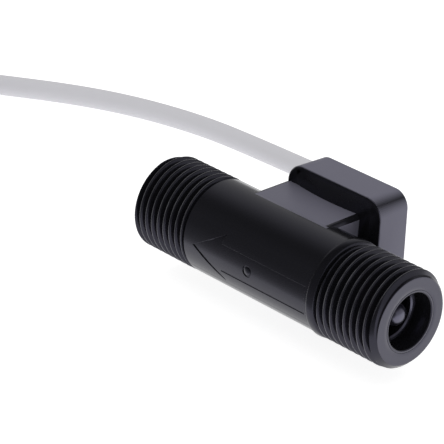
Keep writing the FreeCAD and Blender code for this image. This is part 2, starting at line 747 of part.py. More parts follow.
def make_rotor():
    body = new_body("turbine_rotor")
    hub = [
        (ROTOR_START_X, "Dims.shaft_rad"),
        (ROTOR_END_X, "Dims.shaft_rad"),
        (ROTOR_END_X, "Dims.magnet_in_rad"),
        ("Dims.rotor_step_x", "Dims.magnet_in_rad"),
        ("Dims.rotor_step_x", "Dims.rotor_hub_rad"),
        (ROTOR_START_X, "Dims.rotor_hub_rad"),
    ]
    revolve(body, "rotor_hub", polygon(new_sketch(body, "rotor_hub_profile", "XY_Plane"), hub))
    sections = []
    for step in range(BLADE_SECTIONS):
        share = step / (BLADE_SECTIONS - 1)
        section_x = "Dims.blade_start_x + Dims.blade_len * %g" % share
        section_turn = "Dims.blade_twist * %g" % share
        section = new_sketch(body, "blade_section_%d" % step, "YZ_Plane", section_x, section_turn)
        polygon(section, [
            ("Dims.blade_root_rad", "-Dims.blade_root_thick / 2"),
            ("Dims.blade_tip_rad", "-Dims.blade_tip_thick / 2"),
            ("Dims.blade_tip_rad", "Dims.blade_tip_thick / 2"),
            ("Dims.blade_root_rad", "Dims.blade_root_thick / 2"),
        ])
        sections.append(section)
    blade = body.newObject("PartDesign::AdditiveLoft", "blade")
    blade.Profile = sections[0]
    blade.Sections = sections[1:]
    doc.recompute()
    polar(body, "blades", blade, "Dims.blade_count")
    ring("rotor_magnet", "Dims.rotor_step_x", "Dims.magnet_len", "Dims.magnet_out_rad", "Dims.magnet_in_rad")
    shaft_start = "(%s + Dims.shaft_gap)" % OUTLET_BUSH_X
    shaft_end = "(%s - Dims.shaft_gap)" % INLET_STONE_X
    shaft_len = "%s - %s" % (shaft_end, shaft_start)
    keep(rod("rotor_shaft", shaft_start, shaft_len, "Dims.shaft_rad"), "rotor_shaft")


# Strain relief: flange inside the cover, neck through it and a tapered sleeve outside


def make_strain_relief():
    body = new_body("strain_relief")
    profile = [
        ("Dims.cable_rad", "Dims.exit_y"),
        ("Dims.relief_flange_rad", "Dims.exit_y"),
        ("Dims.relief_flange_rad", COVER_Y),
        ("Dims.relief_neck_rad", COVER_Y),
        ("Dims.relief_neck_rad", BOX_BACK_Y),
        ("Dims.relief_base_rad", BOX_BACK_Y),
        ("Dims.relief_base_rad", BOX_BACK_Y + " + Dims.relief_band"),
        ("Dims.relief_tip_rad", BOX_BACK_Y + " + Dims.relief_len"),
        ("Dims.cable_rad", BOX_BACK_Y + " + Dims.relief_len"),
    ]
    revolve(body, "relief_turned", polygon(new_sketch(body, "relief_profile", "XY_Plane"), profile), "V_Axis")
    bind(body, Placement__Base__x="Dims.exit_x")


# Free cable: a tube along the route, the stored coil, its tie and the bare end


def rounded_path(points):
    """Straight runs joined by tangent arcs, each as large as its two runs allow."""
    edges = []
    at = points[0]
    for before, corner, after in zip(points, points[1:], points[2:]):
        into, out = corner - before, after - corner
        turn = into.getAngle(out)
        cut = CORNER_SHARE * min(into.Length, out.Length)
        into.normalize()
        out.normalize()
        start, end = corner - into * cut, corner + out * cut
        radius = cut / math.tan(turn / 2)
        print("bend of %.1f degrees, radius %.1f mm" % (math.degrees(turn), radius))
        bulge = (out - into).normalize() * (radius / math.cos(turn / 2) - radius)
        edges.append(Part.LineSegment(at, start).toShape())
        edges.append(Part.Arc(start, corner + bulge, end).toShape())
        at = end
    edges.append(Part.LineSegment(at, points[-1]).toShape())
    return Part.Wire(edges)


def swept_tube(path, radius):
    start = path.Edges[0]
    circle = Part.Circle(start.valueAt(start.FirstParameter), start.tangentAt(start.FirstParameter), radius)
    face = Part.Face(Part.Wire(circle.toShape()))
    tube = path.makePipe(face)
    expected = math.pi * radius ** 2 * path.Length
    print("cable run %.1f mm, volume ratio %.4f" % (path.Length, tube.Volume / expected))
    return tube


def plain_feature(label, shape, placement):
    item = doc.addObject("Part::Feature", label)
    item.Shape = shape
    item.Placement = placement
    return keep(item, label)


def coil_section(grow):
    """Outline of the coil's cross-section: two layers of turns, the upper one a little narrower."""
    low_in, low_out = "Dims.coil_mid_rad - Dims.coil_half", "Dims.coil_mid_rad + Dims.coil_half"
    high_in, high_out = low_in + " + Dims.coil_top_in_step", low_out + " - Dims.coil_top_out_step"
    layer = "Dims.coil_lift + 2 * Dims.cable_rad"
    top = "Dims.coil_lift + 4 * Dims.cable_rad"
    return [
        ("%s - %s" % (low_in, grow), "Dims.coil_lift - %s" % grow),
        ("%s + %s" % (low_out, grow), "Dims.coil_lift - %s" % grow),
        ("%s + %s" % (low_out, grow), layer),
        ("%s + %s" % (high_out, grow), "%s + %s" % (top, grow)),
        ("%s - %s" % (high_in, grow), "%s + %s" % (top, grow)),
        ("%s - %s" % (low_in, grow), layer),
    ]


def make_cable():
    points = [Vector(*point) for point in ROUTE]
    heading = (points[-1] - points[-2]).normalize()
    left = Vector(-heading.y, heading.x, 0)
    outer_turn = value("Dims.coil_mid_rad + Dims.coil_half - Dims.cable_rad")
    tangent_point = points[-1] + heading * COIL_APPROACH
    centre = tangent_point + left * outer_turn
    centre.z = FLOOR_Z
    tube = swept_tube(rounded_path(points), value("Dims.cable_rad"))
    plain_feature("cable_lead", tube, Placement())

    coil = new_body("cable_coil")
    section = polygon(new_sketch(coil, "coil_outline", "XZ_Plane"), coil_section("0"))
    revolve(coil, "coil_turned", section, "V_Axis")
    coil.Placement = Placement(centre, Rotation())

    entry_deg = math.degrees(math.atan2(-left.y, -left.x))
    tie = new_body("coil_tie")
    band = new_sketch(tie, "tie_outline", "XZ_Plane", "-Dims.tie_wide / 2")
    polygon(band, coil_section("Dims.tie_gap"))
    polygon(band, coil_section("(Dims.tie_gap + Dims.tie_thick)"))
    pad(tie, "tie_band", band, "Dims.tie_wide")
    tie.Placement = Placement(centre, Rotation(Vector(0, 0, 1), entry_deg + value("Dims.tie_deg")))

    # The bare end leaves the top layer along its tangent
    end_deg = entry_deg + value("Dims.coil_end_deg")
    end_frame = Placement(centre, Rotation(Vector(0, 0, 1), end_deg))
    top_turn = value("Dims.coil_mid_rad + Dims.coil_half - Dims.coil_top_out_step - Dims.cable_rad")
    top_z = value("Dims.coil_lift + 3 * Dims.cable_rad")
    tail_start, tail_len = value("Dims.tail_start"), value("Dims.tail_len")
    tail_root = Vector(top_turn, tail_start, top_z)
    tail = Part.makeCylinder(value("Dims.cable_rad"), tail_len, tail_root, Vector(0, 1, 0))
    plain_feature("cable_tail", tail, end_frame)
    core_len, tip_len = value("Dims.end_core_len"), value("Dims.core_tip_len")
    cores, tips = [], []
    for side in (-1, 0, 1):
        turn = Rotation(-side * value("Dims.end_core_fan"), 0, -value("Dims.end_core_droop"))
        direction = turn.multVec(Vector(0, 1, 0))
        root = tail_root + Vector(side * value("Dims.core_ring"), tail_len, 0)
        cores.append(Part.makeCylinder(value("Dims.core_rad"), core_len, root, direction))
        tip_root = root + direction * core_len
        tips.append(Part.makeCylinder(value("Dims.core_tip_rad"), tip_len, tip_root, direction))
    plain_feature("end_cores", Part.makeCompound(cores), end_frame)
    plain_feature("core_tips", Part.makeCompound(tips), end_frame)


make_flow_tube()
make_sensor_housing()
make_cover()
make_board()
make_board_parts()
make_cartridge()
make_bearings()
make_rotor()
make_strain_relief()
make_cable()
doc.recompute()

for item in doc.Objects:
    if {"Invalid", "Error"} & set(item.State):
        raise RuntimeError("%s failed: %s" % (item.Name, item.State))
os.makedirs("parts", exist_ok=True)
for item in sub_parts:
    if item.Shape.isNull() or not item.Shape.isValid() or not item.Shape.Solids:
        raise RuntimeError("%s has no valid solid" % item.Label)
for item in sub_parts:
    item.Shape.exportStep("parts/%s.step" % item.Label)
print("%d sub-parts written" % len(sub_parts))
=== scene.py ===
import json
import math

import bmesh
import bpy
from mathutils import Matrix, Vector


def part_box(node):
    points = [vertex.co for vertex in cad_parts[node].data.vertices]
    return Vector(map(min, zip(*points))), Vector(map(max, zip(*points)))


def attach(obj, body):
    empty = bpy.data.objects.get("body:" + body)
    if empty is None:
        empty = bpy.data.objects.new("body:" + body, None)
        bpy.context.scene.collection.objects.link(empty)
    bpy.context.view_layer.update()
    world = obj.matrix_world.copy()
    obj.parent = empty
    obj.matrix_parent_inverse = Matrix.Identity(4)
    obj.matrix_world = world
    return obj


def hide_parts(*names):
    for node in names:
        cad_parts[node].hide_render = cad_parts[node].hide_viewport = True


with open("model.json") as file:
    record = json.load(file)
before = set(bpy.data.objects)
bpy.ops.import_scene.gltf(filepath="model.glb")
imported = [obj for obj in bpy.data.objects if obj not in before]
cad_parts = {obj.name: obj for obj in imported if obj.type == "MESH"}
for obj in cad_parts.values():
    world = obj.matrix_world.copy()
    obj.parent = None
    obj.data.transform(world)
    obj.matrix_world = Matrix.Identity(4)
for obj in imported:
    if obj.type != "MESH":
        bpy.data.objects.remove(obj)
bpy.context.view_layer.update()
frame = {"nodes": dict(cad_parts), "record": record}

# Lengths are metres and angles degrees. X runs along the tube towards its inlet, the box is at +Y.

MM = 0.001
ON_SURFACE = 0.03 * MM
TUBE_LOW, TUBE_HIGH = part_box("flow_tube")
OUTLET_X, INLET_X = TUBE_LOW[0], TUBE_HIGH[0]
FLOOR_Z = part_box("sensor_housing")[0][2]
SLOTS = {item["node"]: item["material_slot"] for item in frame["record"]["subparts"]}

# Camera

CAMERA_AZIMUTH = 46.04
CAMERA_ELEVATION = 25.98
CAMERA_ROLL = 2.31
CAMERA_DISTANCE = 494.66 * MM
CAMERA_AIM = Vector((-30.2, -7.14, 6.05)) * MM
CAMERA_NEAR = 10.0 * MM
PHOTO_WIDTH_PX = 444
FOCAL_PX = 2419.5
SENSOR_WIDTH = 36.0


def direction(azimuth, elevation):
    """Unit vector from the object towards a place in the studio; azimuth 0 is -Y and 90 is +X."""
    turn, rise = math.radians(azimuth), math.radians(elevation)
    return Vector((math.sin(turn) * math.cos(rise), -math.cos(turn) * math.cos(rise), math.sin(rise)))


def make_camera():
    back = direction(CAMERA_AZIMUTH, CAMERA_ELEVATION)
    level = Vector((0, 0, 1)).cross(back).normalized()
    right = Matrix.Rotation(math.radians(CAMERA_ROLL), 3, back) @ level
    up = back.cross(right)
    data = bpy.data.cameras.new("camera")
    data.sensor_width = SENSOR_WIDTH
    data.lens = FOCAL_PX * SENSOR_WIDTH / PHOTO_WIDTH_PX
    data.clip_start = CAMERA_NEAR
    camera = bpy.data.objects.new("camera", data)
    turn = Matrix((right, up, back)).transposed().to_4x4()
    camera.matrix_world = Matrix.Translation(CAMERA_AIM + back * CAMERA_DISTANCE) @ turn
    bpy.context.scene.collection.objects.link(camera)
    bpy.context.scene.camera = camera


make_camera()

# Helpers for pieces

# Middle of a quarter round, as a share of its radius in from both ends
ROUND_MIDDLE = 0.3


def add_piece(name, data, slot, replaces=()):
    """Put a new piece in the scene, on the housing, with the material of its slot in the record."""
    piece = bpy.data.objects.new(name, data)
    bpy.context.scene.collection.objects.link(piece)
    data.materials.clear()
    data.materials.append(materials[slot])
    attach(piece, "housing")
    if replaces:
        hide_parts(*replaces)
    return piece


def closed_mesh(name, vertices, faces):
    """Mesh of a closed solid, with its faces turned outwards."""
    mesh = bpy.data.meshes.new(name)
    mesh.from_pydata(vertices, [], faces)
    bm = bmesh.new()
    bm.from_mesh(mesh)
    bmesh.ops.recalc_face_normals(bm, faces=bm.faces)
    bm.to_mesh(mesh)
    bm.free()
    return mesh


def smooth(mesh, sharp_deg):
    """Smooth shading, with edges sharper than an angle kept crisp."""
    mesh.polygons.foreach_set("use_smooth", [True] * len(mesh.polygons))
    mesh.set_sharp_from_angle(angle=math.radians(sharp_deg))
    mesh.update()


def ease(share):
    """Smooth step from 0 to 1."""
    share = min(1.0, max(0.0, share))
    return share * share * (3 - 2 * share)


# Helpers for materials

NOISE_RANGE = (0.3, 0.7)


def new_material(name):
    material = bpy.data.materials.new(name)
    material.use_nodes = True
    nodes = material.node_tree.nodes
    links = material.node_tree.links
    return material, nodes, links, nodes["Principled BSDF"]


def noise(nodes, links, scale, detail, stretch=None):
    """Noise in object space, in cells per metre."""
    texture = nodes.new("ShaderNodeTexNoise")
    texture.inputs["Scale"].default_value = scale
    texture.inputs["Detail"].default_value = detail
    source = nodes.new("ShaderNodeTexCoord").outputs["Object"]
    if stretch:
        mapping = nodes.new("ShaderNodeMapping")
        mapping.inputs["Scale"].default_value = stretch
        links.new(source, mapping.inputs["Vector"])
        source = mapping.outputs["Vector"]
    links.new(source, texture.inputs["Vector"])
    return texture.outputs["Fac"]


def spread(nodes, links, value, to_range, from_range=NOISE_RANGE):
    """Map a value, such as noise, from one range to another."""
    node = nodes.new("ShaderNodeMapRange")
    node.inputs["From Min"].default_value = from_range[0]
    node.inputs["From Max"].default_value = from_range[1]
    node.inputs["To Min"].default_value = to_range[0]
    node.inputs["To Max"].default_value = to_range[1]
    links.new(value, node.inputs["Value"])
    return node.outputs["Result"]


def arithmetic(nodes, links, operation, first, second):
    """Math node between a value and a value or number."""
    node = nodes.new("ShaderNodeMath")
    node.operation = operation
    links.new(first, node.inputs[0])
    if isinstance(second, (int, float)):
        node.inputs[1].default_value = second
    else:
        links.new(second, node.inputs[1])
    return node.outputs[0]


def blend_colours(nodes, links, factor, first, second):
    node = nodes.new("ShaderNodeMix")
    node.data_type = "RGBA"
    node.inputs["A"].default_value = (*first, 1.0)
    node.inputs["B"].default_value = (*second, 1.0)
    links.new(factor, node.inputs["Factor"])
    return node.outputs["Result"]


def recolour(nodes, links, shader, factor, colour):
    """Lay a colour over a material's own, as far as a factor says."""
    base = shader.inputs["Base Color"]
    plain = base.links[0].from_socket
    node = nodes.new("ShaderNodeMix")
    node.data_type = "RGBA"
    node.inputs["B"].default_value = colour
    links.new(factor, node.inputs["Factor"])
    links.new(plain, node.inputs["A"])
    links.new(node.outputs["Result"], base)


def add_grain(nodes, links, shader, height, strength, depth):
    """Fine relief of the surface."""
    bump = nodes.new("ShaderNodeBump")
    bump.inputs["Strength"].default_value = strength
    bump.inputs["Distance"].default_value = depth
    links.new(height, bump.inputs["Height"])
    links.new(bump.outputs["Normal"], shader.inputs["Normal"])


# Plastics and metals

MARKS_DETAIL = 4.0
FLOW_MARKS = 90.0
GRAIN_DETAIL = 2.0
GRAIN_STRENGTH = 0.35
PLASTIC_GLOSS = (-0.05, 0.06)
RUBBED_EDGE = (0.52, 0.62)
SHEEN_TINT = (0.75, 0.735, 1.0, 1.0)
HUB_IOR = 2.2
METAL_MARKS = 3000.0
METAL_SHADE = 0.75
METAL_GLOSS = (-0.08, 0.1)
METAL_GRAIN_STRENGTH = 0.2
METAL_GRAIN_DEPTH = 0.003 * MM
# Slots of the record: grain is in cells per metre, and its depth in mm
PLASTICS = {
    "tube_black": dict(colour=(0.005, 0.005, 0.006), roughness=0.2, flow=(0.35, 1, 1)),
    "housing_black": dict(colour=(0.006, 0.006, 0.007), roughness=0.26),
    "cover_black": dict(colour=(0.008, 0.008, 0.009), roughness=0.42, grain=4200.0, depth=0.01),
    "cartridge_black": dict(colour=(0.006, 0.006, 0.007), roughness=0.26, ior=HUB_IOR),
    "relief_black": dict(colour=(0.02, 0.02, 0.021), roughness=0.55, grain=5200.0, depth=0.012),
    "tie_black": dict(colour=(0.02, 0.02, 0.02), roughness=0.5, grain=6000.0, depth=0.01),
    "seal_rubber": dict(colour=(0.03, 0.03, 0.03), roughness=0.7, grain=5200.0, depth=0.014),
    "chip_black": dict(colour=(0.025, 0.025, 0.027), roughness=0.55, grain=12000.0, depth=0.004),
    "bearing_carbon": dict(colour=(0.04, 0.04, 0.043), roughness=0.5, grain=14000.0, depth=0.004),
    "cable_grey": dict(colour=(0.66, 0.655, 0.68), roughness=0.42, grain=5000.0, depth=0.006, worn=1.05),
    "core_insulation": dict(colour=(0.13, 0.13, 0.14), roughness=0.38, grain=9000.0, depth=0.003),
    "rotor_white": dict(colour=(0.78, 0.77, 0.73), roughness=0.38, grain=9000.0, depth=0.004, worn=1.05),
    "ceramic_white": dict(colour=(0.8, 0.79, 0.75), roughness=0.16, grain=16000.0, depth=0.001, worn=1.02),
    "board_green": dict(colour=(0.015, 0.13, 0.05), roughness=0.32, grain=2600.0, depth=0.02, worn=1.3),
    "capacitor_tan": dict(colour=(0.4, 0.27, 0.15), roughness=0.36, grain=9000.0, depth=0.003),
}
METALS = {
    "tinned_metal": dict(colour=(0.74, 0.74, 0.72), roughness=0.3),
    "shaft_steel": dict(colour=(0.62, 0.62, 0.61), roughness=0.22, lines=(1, 0.05, 0.05)),
    "magnet_grey": dict(colour=(0.12, 0.12, 0.125), roughness=0.5),
}


def moulded_plastic(name, colour, roughness, grain=7000.0, depth=0.004, worn=1.6, ior=1.5, flow=None):
    """Moulded plastic: fine grain, faint flow marks, uneven gloss and slightly paler edges, worn by
    rubbing.
    """
    material, nodes, links, shader = new_material(name)
    paler = [min(1.0, channel * worn) for channel in colour]
    edge = nodes.new("ShaderNodeNewGeometry").outputs["Pointiness"]
    rubbed_and_highlight = spread(nodes, links, edge, (0.0, 1.0), RUBBED_EDGE)
    links.new(blend_colours(nodes, links, rubbed_and_highlight, colour, paler), shader.inputs["Base Color"])
    marks = noise(nodes, links, FLOW_MARKS, MARKS_DETAIL, flow)
    gloss = [roughness + change for change in PLASTIC_GLOSS]
    links.new(spread(nodes, links, marks, gloss), shader.inputs["Roughness"])
    fine = noise(nodes, links, grain, GRAIN_DETAIL)
    add_grain(nodes, links, shader, fine, GRAIN_STRENGTH, depth * MM)
    shader.inputs["IOR"].default_value = ior
    shader.inputs["Specular Tint"].default_value = SHEEN_TINT
    return material


def metal(name, colour, roughness, lines=None):
    """Bare metal with fine drawn or ground marks."""
    material, nodes, links, shader = new_material(name)
    marks = noise(nodes, links, METAL_MARKS, MARKS_DETAIL, lines)
    darker = [channel * METAL_SHADE for channel in colour]
    links.new(blend_colours(nodes, links, marks, darker, colour), shader.inputs["Base Color"])
    gloss = [roughness + change for change in METAL_GLOSS]
    links.new(spread(nodes, links, marks, gloss), shader.inputs["Roughness"])
    add_grain(nodes, links, shader, marks, METAL_GRAIN_STRENGTH, METAL_GRAIN_DEPTH)
    shader.inputs["Metallic"].default_value = 1.0
    return material


# Satin, with a painted sheen (a paler colour by facing direction that stands in for reflected light), on
# the flat faces of the tower, the box and the tube's ends, and a painted highlight on the thread crests

TOWER_ENDS = (-30.6 * MM, -8.75 * MM)
TOWER_FROM_Y = 1.1 * MM
TOWER_ROUND = 1.2 * MM
TOWER_FLAT_FROM = 0.96
# Shares of the painted sheen on the tower, and on faces square to X elsewhere, such as the tube's end
# faces
TOWER_SHEEN_SHARE = 0.88
END_FACE_SHEEN_SHARE = 0.4
BOX_FLAT_FROM = 0.5
FLAT_FULL = 0.98
# Colour of the painted sheen, in place of light that the flat faces reflect, and the roughness they gain
# with it
PAINTED_SHEEN_COLOUR = (0.145, 0.142, 0.18, 1.0)
SATIN_EXTRA = 0.3
# Painted highlight on the thread crests: its colour, and the patches it comes in
CREST_HIGHLIGHT_COLOUR = (0.085, 0.084, 0.092, 1.0)
CREST_HIGHLIGHT_PATCHES = 260.0
CREST_HIGHLIGHT_DETAIL = 3.0
CREST_HIGHLIGHT_RANGE = (0.2, 1.0)


def add_satin_and_painted_sheen(material, flat_from, ends, from_y, share=1.0, elsewhere=0.0):
    """Painted sheen on faces square to X or Z, between two ends in X and past a place in Y: a paler colour
    that stands in for reflected light, and a rougher satin gloss.

    Faces square to X get a share of their own elsewhere.
    """
    nodes, links = material.node_tree.nodes, material.node_tree.links
    shader = nodes["Principled BSDF"]
    facing = nodes.new("ShaderNodeSeparateXYZ")
    links.new(nodes.new("ShaderNodeNewGeometry").outputs["True Normal"], facing.inputs[0])
    across = arithmetic(nodes, links, "MULTIPLY", facing.outputs["X"], facing.outputs["X"])
    level = arithmetic(nodes, links, "MULTIPLY", facing.outputs["Z"], facing.outputs["Z"])
    place = nodes.new("ShaderNodeSeparateXYZ")
    links.new(nodes.new("ShaderNodeTexCoord").outputs["Object"], place.inputs[0])
    offset = arithmetic(nodes, links, "SUBTRACT", place.outputs["X"], sum(ends) / 2)
    beside = arithmetic(nodes, links, "ABSOLUTE", offset, 0.0)
    between = arithmetic(nodes, links, "LESS_THAN", beside, (ends[1] - ends[0]) / 2 + ON_SURFACE)
    behind = arithmetic(nodes, links, "GREATER_THAN", place.outputs["Y"], from_y)
    inside = arithmetic(nodes, links, "MULTIPLY", between, behind)
    square = arithmetic(nodes, links, "MAXIMUM", across, level)
    square_inside = arithmetic(nodes, links, "MULTIPLY", square, inside)
    full = spread(nodes, links, square_inside, (0.0, share), (flat_from, FLAT_FULL))
    some = spread(nodes, links, across, (0.0, elsewhere), (flat_from, FLAT_FULL))
    flat = arithmetic(nodes, links, "MAXIMUM", full, some)
    # Painted sheen: the paler colour laid on the flat faces
    recolour(nodes, links, shader, flat, PAINTED_SHEEN_COLOUR)
    gloss = shader.inputs["Roughness"].links[0].from_socket
    extra = arithmetic(nodes, links, "MULTIPLY", flat, SATIN_EXTRA)
    links.new(arithmetic(nodes, links, "ADD", gloss, extra), shader.inputs["Roughness"])


def add_painted_crest_highlight(material):
    """Painted highlight on the thread crests: a patchy paler colour, as far as the mesh attribute read
    below says.
    """
    nodes, links = material.node_tree.nodes, material.node_tree.links
    crest_highlight = nodes.new("ShaderNodeAttribute")
    crest_highlight.attribute_name = "crest_highlight"
    patchy = spread(nodes, links, noise(nodes, links, CREST_HIGHLIGHT_PATCHES, CREST_HIGHLIGHT_DETAIL), CREST_HIGHLIGHT_RANGE)
    # Painted highlight: patchy share of the crests that gets the paler colour
    rubbed_and_highlight = arithmetic(nodes, links, "MULTIPLY", crest_highlight.outputs["Fac"], patchy)
    recolour(nodes, links, nodes["Principled BSDF"], rubbed_and_highlight, CREST_HIGHLIGHT_COLOUR)


def make_materials():
    made = {name: moulded_plastic(name, **look) for name, look in PLASTICS.items()}
    made.update({name: metal(name, **look) for name, look in METALS.items()})
    tower_flat = (TOWER_ENDS[0] + TOWER_ROUND, TOWER_ENDS[1])
    # Painted sheen on the tower and the tube's end faces, and on the box's flat faces
    add_satin_and_painted_sheen(made["tube_black"], TOWER_FLAT_FROM, tower_flat, TOWER_FROM_Y, TOWER_SHEEN_SHARE, END_FACE_SHEEN_SHARE)
    box_ends = [corner[0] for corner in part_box("sensor_housing")]
    add_satin_and_painted_sheen(made["housing_black"], BOX_FLAT_FROM, box_ends, 0.0)
    # Painted highlight on the thread crests
    add_painted_crest_highlight(made["tube_black"])
    return made


materials = make_materials()

# Cable: the route out of the housing, then the turns of the stored coil

CABLE_RADIUS = 2.5 * MM
CURVE_STEPS = 8
CURVE_ORDER = 3
LYING_Z = FLOOR_Z + CABLE_RADIUS
# Route in mm: down from the box to the floor, then X and Y along the floor
ROUTE_DOWN = [(-23.6, 17.2, 0.0), (-23.6, 31.3, 0.0), (-29.3, 43.7, -3.7), (-40.2, 51.5, -9.0)]
ROUTE_LYING = [
    (-54.3, 53.1),
    (-79.8, 52.4),
    (-97.8, 51.2),
    (-116.0, 46.6),
    (-131.5, 39.6),
    (-148.0, 28.8),
    (-164.0, 17.4),
]
ROUTE = [Vector(point) * MM for point in ROUTE_DOWN]
ROUTE += [Vector((x * MM, y * MM, LYING_Z)) for x, y in ROUTE_LYING]
COIL_APPROACH = 12.0 * MM
COIL_LIFT = 0.6 * MM
OUTER_TURN = 35.5 * MM
INNER_TURN = 24.5 * MM
TOP_INNER_TURN = 25.0 * MM
TOP_OUTER_TURN = 33.5 * MM
FLOOR_TURNS = 2.2
CLIMB_TURNS = 0.27
ALL_TURNS = 4 + 52 / 360
POINTS_PER_TURN = 16
TAIL_RUN = 20.0 * MM


def coil_frame():
    """Centre of the coil on the floor, and the angle where the cable joins its outer turn."""
    heading = (ROUTE[-1] - ROUTE[-2]).normalized()
    left = Vector((-heading.y, heading.x, 0.0))
    centre = ROUTE[-1] + heading * COIL_APPROACH + left * OUTER_TURN
    centre.z = FLOOR_Z
    return centre, math.atan2(-left.y, -left.x)


def coil_axes(angle):
    """Directions away from the coil's centre and along the cable, at an angle of the coil."""
    outward = Vector((math.cos(angle), math.sin(angle), 0.0))
    return outward, Vector((-outward.y, outward.x, 0.0))


def coil_stages():
    """Stages of the coil: turns, then radius and height of the cable's middle at each end of it."""
    low = COIL_LIFT + CABLE_RADIUS
    high = low + 2 * CABLE_RADIUS
    return [
        (FLOOR_TURNS, OUTER_TURN, INNER_TURN, low, low),
        (CLIMB_TURNS, INNER_TURN, TOP_INNER_TURN, low, high),
        (ALL_TURNS - FLOOR_TURNS - CLIMB_TURNS, TOP_INNER_TURN, TOP_OUTER_TURN, high, high),
    ]


def coil_place(turned):
    """Radius and height of the cable's middle after a number of turns."""
    for turns, radius_in, radius_out, z_in, z_out in coil_stages():
        if turned <= turns:
            share = turned / turns
            return radius_in + (radius_out - radius_in) * share, z_in + (z_out - z_in) * share
        turned -= turns
    return radius_out, z_out


def coil_points():
    """Control points of the coil: inwards on the floor, up a layer, outwards on top, straight off."""
    centre, start = coil_frame()
    widen = 1 / math.cos(math.pi / POINTS_PER_TURN)
    points = []
    for step in range(round(ALL_TURNS * POINTS_PER_TURN)):
        turned = step / POINTS_PER_TURN
        radius, height = coil_place(turned)
        outward = coil_axes(start + 2 * math.pi * turned)[0]
        points.append(centre + outward * radius * widen + Vector((0, 0, height)))
    outward, along = coil_axes(start + 2 * math.pi * ALL_TURNS)
    radius, height = coil_place(ALL_TURNS)
    leave = centre + outward * radius + Vector((0, 0, height))
    points += [leave, leave + along * TAIL_RUN / 2, leave + along * TAIL_RUN]
    return points


def make_cable():
    points = ROUTE + coil_points()
    data = bpy.data.curves.new("cable", "CURVE")
    data.dimensions = "3D"
    data.bevel_depth = CABLE_RADIUS
    data.bevel_resolution = CURVE_STEPS
    data.resolution_u = CURVE_STEPS
    data.use_fill_caps = True
    spline = data.splines.new("NURBS")
    spline.points.add(len(points) - 1)
    for point, place in zip(spline.points, points):
        point.co = (*place, 1.0)
    spline.order_u = CURVE_ORDER
    spline.use_endpoint_u = True
    return add_piece("cable", data, SLOTS["cable_lead"], ("cable_lead", "cable_coil", "cable_tail"))


cable = make_cable()

# Tie of the coil

TIE_TURN = 190 / 360
TIE_WIDTH = 4.0 * MM
TIE_THICKNESS = 0.5 * MM
TIE_GAP = 0.15 * MM
TIE_STEPS = 72
TIE_SHARP = 40


def make_tie():
    """Flat band drawn tight round all the turns that cross one place of the coil."""
    centre, start = coil_frame()
    outward, along = coil_axes(start + 2 * math.pi * TIE_TURN)
    turns = [coil_place(TIE_TURN + count) for count in range(math.ceil(ALL_TURNS - TIE_TURN))]
    inner = CABLE_RADIUS + TIE_GAP
    half_width = along * TIE_WIDTH / 2
    vertices = []
    for step in range(TIE_STEPS):
        side = 2 * math.pi * step / TIE_STEPS
        lean = (math.cos(side), math.sin(side))
        radius, height = max(turns, key=lambda turn: turn[0] * lean[0] + turn[1] * lean[1])
        for reach in (inner, inner + TIE_THICKNESS):
            lift = Vector((0, 0, height + reach * lean[1]))
            middle = centre + outward * (radius + reach * lean[0]) + lift
            vertices += [middle - half_width, middle + half_width]
    faces = []
    for step in range(TIE_STEPS):
        here, there = 4 * step, 4 * ((step + 1) % TIE_STEPS)
        for first, second in ((0, 1), (1, 3), (3, 2), (2, 0)):
            faces.append((here + first, here + second, there + second, there + first))
    mesh = closed_mesh("tie", vertices, faces)
    smooth(mesh, TIE_SHARP)
    return add_piece("tie", mesh, SLOTS["coil_tie"], ("coil_tie",))


cable_tie = make_tie()

# Threads of the flow tube, in Whitworth form: depth and rounding are shares of the pitch

PITCH = 1.814 * MM
CREST_RADIUS = 10.478 * MM
THREAD_DEPTH = 0.6403 * PITCH
CREST_ROUND = 0.1373 * PITCH
FLANK_ANGLE = 27.5
RELIEF_LENGTH = 0.5 * PITCH
# Depth below the crest over which the painted crest highlight fades out
CREST_HIGHLIGHT_DEPTH = 0.045 * MM
OUTLET_THREAD_LENGTH = 15.6 * MM
OUTLET_THREAD_X = OUTLET_X + OUTLET_THREAD_LENGTH
THREAD_AROUND = 160
STEPS_PER_PITCH = 28
THREAD_SHARP = 50
# End faces: outer radius, bore, rounded edges and the fine line round the mouth
INLET_FACE_RADIUS = 9.3 * MM
OUTLET_CHAMFER = 0.25 * MM
OUTLET_FACE_RADIUS = CREST_RADIUS - OUTLET_CHAMFER
BORE_RADIUS = 6.05 * MM
OUTLET_BORE_RADIUS = 5.2 * MM
MOUTH_EDGE = 0.25 * MM
FACE_EDGE = 0.3 * MM
FACE_LINE = 0.6 * MM
FACE_LINE_WIDTH = 0.13 * MM
FACE_LINE_DEEP = 0.05 * MM


def groove_depth(turn):
    """Depth below the crest in a Whitworth thread, at a share of the pitch from the crest."""
    beside = abs((turn + 0.5) % 1.0 - 0.5) * PITCH
    lean = math.radians(FLANK_ANGLE)
    arc_half = CREST_ROUND * math.cos(lean)
    arc_drop = CREST_ROUND * (1 - math.sin(lean))
    if beside < arc_half:
        return CREST_ROUND - math.sqrt(CREST_ROUND ** 2 - beside ** 2)
    if beside < PITCH / 2 - arc_half:
        return arc_drop + (beside - arc_half) / math.tan(lean)
    from_root = PITCH / 2 - beside
    return THREAD_DEPTH - CREST_ROUND + math.sqrt(CREST_ROUND ** 2 - from_root ** 2)


def thread_radius(x, angle, inner_x, face_x, face_radius):
    """Thread that ends in a relief groove and is cut by the chamfer at the end face."""
    depth = groove_depth(x / PITCH - angle / (2 * math.pi))
    start = ease(abs(x - inner_x) / RELIEF_LENGTH)
    chamfer = face_radius + abs(face_x - x)
    return min(CREST_RADIUS - THREAD_DEPTH + (THREAD_DEPTH - depth) * start, chamfer)


